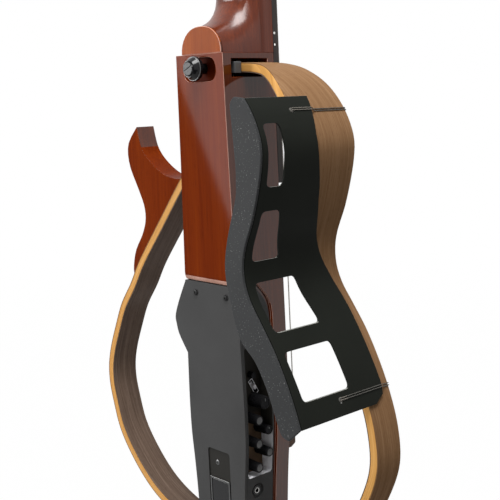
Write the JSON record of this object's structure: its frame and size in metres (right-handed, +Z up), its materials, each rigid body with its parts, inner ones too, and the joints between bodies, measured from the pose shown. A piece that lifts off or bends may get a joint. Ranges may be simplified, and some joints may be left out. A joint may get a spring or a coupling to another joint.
{
  "type": "silent guitar",
  "caption": "Nylon-string silent guitar: slim wooden spine with built-in electronics, slotted head, bent side frames, one detachable, and a pierced support tied to the bass side.",
  "frame": {"origin": "back of the neck at the nut, where a wall hanger or a hand holds it", "axes": "+Z up along the neck towards the head, +Y from the back towards the strings, +X towards the bass side"},
  "size_m": [0.3548, 0.1362, 0.9701],
  "materials": {
    "mahogany": "gloss lacquer",
    "frame_maple": "gloss lacquer",
    "rosewood": "satin",
    "fingerboard_wood": "oiled",
    "bone": "polished",
    "nickel": "polished",
    "brass": "satin",
    "steel": "satin",
    "housing_plastic": "fine texture",
    "gloss_black": "gloss",
    "knob_black": "satin",
    "panel_grey": "speckled",
    "support_plastic": "fine texture",
    "cord": "twisted",
    "nylon": "clear",
    "wound_string": "wound",
    "board_green": "printed board"
  },
  "bodies": {
    "instrument": {"body_spine": "mahogany", "neck": "mahogany", "heel_cap": "rosewood", "fingerboard": "fingerboard_wood", "nut": "bone", "tuner_plate_bass": "nickel", "tuner_plate_treble": "nickel", "bridge": "rosewood", "saddle_pickup": "steel", "saddle": "bone", "string_1": "nylon", "string_2": "nylon", "string_3": "nylon", "string_4": "wound_string", "string_5": "wound_string", "string_6": "wound_string", "treble_frame": "frame_maple", "treble_horn": "mahogany", "horn_screw_1": "steel", "horn_screw_2": "steel", "electronics_housing": "housing_plastic", "rear_cover": "housing_plastic", "cover_screw_1": "steel", "cover_screw_2": "steel", "battery_frame": "nickel", "battery_pack": "steel", "control_panel": "panel_grey", "circuit_board": "board_green", "phones_jack": "nickel", "aux_jack": "nickel", "tail_block": "housing_plastic", "strap_pin": "steel"},
    "bass_side": {"bass_frame": "frame_maple", "bass_frame_end_block": "gloss_black", "support_sheet": "support_plastic", "support_flange": "support_plastic", "support_cord_top": "cord", "support_cord_bottom": "cord"},
    "thumbscrew": {"thumbscrew": "gloss_black"},
    "worm_6": {"tuner_worm_6": "bone"},
    "roller_6": {"string_roller_6": "brass"},
    "worm_5": {"tuner_worm_5": "bone"},
    "roller_5": {"string_roller_5": "brass"},
    "worm_4": {"tuner_worm_4": "bone"},
    "roller_4": {"string_roller_4": "brass"},
    "worm_1": {"tuner_worm_1": "bone"},
    "roller_1": {"string_roller_1": "brass"},
    "worm_2": {"tuner_worm_2": "bone"},
    "roller_2": {"string_roller_2": "brass"},
    "worm_3": {"tuner_worm_3": "bone"},
    "roller_3": {"string_roller_3": "brass"},
    "volume_knob": {"volume_knob": "knob_black"},
    "treble_knob": {"treble_knob": "knob_black"},
    "bass_knob": {"bass_knob": "knob_black"},
    "blend_knob": {"blend_knob": "knob_black"},
    "effect_knob": {"effect_knob": "knob_black"},
    "aux_knob": {"aux_knob": "knob_black"},
    "tuner_button": {"tuner_button": "knob_black"},
    "power_switch": {"power_switch": "panel_grey"},
    "battery_door": {"battery_door": "gloss_black"}
  },
  "joints": [
    {"name": "bass_side_release", "type": "slide", "parent": "instrument", "child": "bass_side", "axis": [1, 0, 0], "range_m": [0, 0.045]},
    {"name": "thumbscrew_turn", "type": "hinge", "parent": "instrument", "child": "thumbscrew", "pos_m": [0, -0.0367, -0.337], "axis": [0, 1, 0], "continuous": true},
    {"name": "worm_6_turn", "type": "hinge", "parent": "instrument", "child": "worm_6", "pos_m": [0.0381, -0.00113, 0.05918], "axis": [0, 0.9744, 0.225], "continuous": true},
    {"name": "roller_6_turn", "type": "hinge", "parent": "instrument", "child": "roller_6", "pos_m": [0, 0.00096, 0.05012], "axis": [1, 0, 0], "continuous": true},
    {"name": "worm_5_turn", "type": "hinge", "parent": "instrument", "child": "worm_5", "pos_m": [0.0381, -0.00968, 0.09621], "axis": [0, 0.9744, 0.225], "continuous": true},
    {"name": "roller_5_turn", "type": "hinge", "parent": "instrument", "child": "roller_5", "pos_m": [0, -0.00759, 0.08715], "axis": [1, 0, 0], "continuous": true},
    {"name": "worm_4_turn", "type": "hinge", "parent": "instrument", "child": "worm_4", "pos_m": [0.0381, -0.01823, 0.13323], "axis": [0, 0.9744, 0.225], "continuous": true},
    {"name": "roller_4_turn", "type": "hinge", "parent": "instrument", "child": "roller_4", "pos_m": [0, -0.01614, 0.12417], "axis": [1, 0, 0], "continuous": true},
    {"name": "worm_1_turn", "type": "hinge", "parent": "instrument", "child": "worm_1", "pos_m": [-0.0381, -0.00113, 0.05918], "axis": [0, 0.9744, 0.225], "continuous": true},
    {"name": "roller_1_turn", "type": "hinge", "parent": "instrument", "child": "roller_1", "pos_m": [0, 0.00096, 0.05012], "axis": [1, 0, 0], "continuous": true},
    {"name": "worm_2_turn", "type": "hinge", "parent": "instrument", "child": "worm_2", "pos_m": [-0.0381, -0.00968, 0.09621], "axis": [0, 0.9744, 0.225], "continuous": true},
    {"name": "roller_2_turn", "type": "hinge", "parent": "instrument", "child": "roller_2", "pos_m": [0, -0.00759, 0.08715], "axis": [1, 0, 0], "continuous": true},
    {"name": "worm_3_turn", "type": "hinge", "parent": "instrument", "child": "worm_3", "pos_m": [-0.0381, -0.01823, 0.13323], "axis": [0, 0.9744, 0.225], "continuous": true},
    {"name": "roller_3_turn", "type": "hinge", "parent": "instrument", "child": "roller_3", "pos_m": [0, -0.01614, 0.12417], "axis": [1, 0, 0], "continuous": true},
    {"name": "volume_knob_turn", "type": "hinge", "parent": "instrument", "child": "volume_knob", "pos_m": [0.024, -0.0084, -0.62642], "axis": [1, 0, 0], "range_deg": [-150, 150]},
    {"name": "treble_knob_turn", "type": "hinge", "parent": "instrument", "child": "treble_knob", "pos_m": [0.024, -0.0158, -0.64081], "axis": [1, 0, 0], "range_deg": [-150, 150]},
    {"name": "bass_knob_turn", "type": "hinge", "parent": "instrument", "child": "bass_knob", "pos_m": [0.024, -0.0047, -0.65191], "axis": [1, 0, 0], "range_deg": [-150, 150]},
    {"name": "blend_knob_turn", "type": "hinge", "parent": "instrument", "child": "blend_knob", "pos_m": [0.024, -0.0168, -0.66166], "axis": [1, 0, 0], "range_deg": [-150, 150]},
    {"name": "effect_knob_turn", "type": "hinge", "parent": "instrument", "child": "effect_knob", "pos_m": [0.024, -0.0047, -0.67212], "axis": [1, 0, 0], "range_deg": [-150, 150]},
    {"name": "aux_knob_turn", "type": "hinge", "parent": "instrument", "child": "aux_knob", "pos_m": [0.024, -0.0173, -0.6831], "axis": [1, 0, 0], "range_deg": [-150, 150]},
    {"name": "tuner_button_press", "type": "slide", "parent": "instrument", "child": "tuner_button", "axis": [-1, 0, 0], "range_m": [0, 0.0015], "stiffness_N_per_m": 300},
    {"name": "power_switch_slide", "type": "slide", "parent": "instrument", "child": "power_switch", "axis": [0, -0.5, 0.866], "range_m": [-0.003, 0.003]},
    {"name": "battery_door_hinge", "type": "hinge", "parent": "instrument", "child": "battery_door", "pos_m": [0, -0.03076, -0.74269], "axis": [1, 0, 0], "range_deg": [0, 100]}
  ],
  "couplings": [
    {"joint": "roller_6_turn", "follows": "worm_6_turn", "ratio": 0.066667},
    {"joint": "roller_5_turn", "follows": "worm_5_turn", "ratio": 0.066667},
    {"joint": "roller_4_turn", "follows": "worm_4_turn", "ratio": 0.066667},
    {"joint": "roller_1_turn", "follows": "worm_1_turn", "ratio": -0.066667},
    {"joint": "roller_2_turn", "follows": "worm_2_turn", "ratio": -0.066667},
    {"joint": "roller_3_turn", "follows": "worm_3_turn", "ratio": -0.066667}
  ]
}
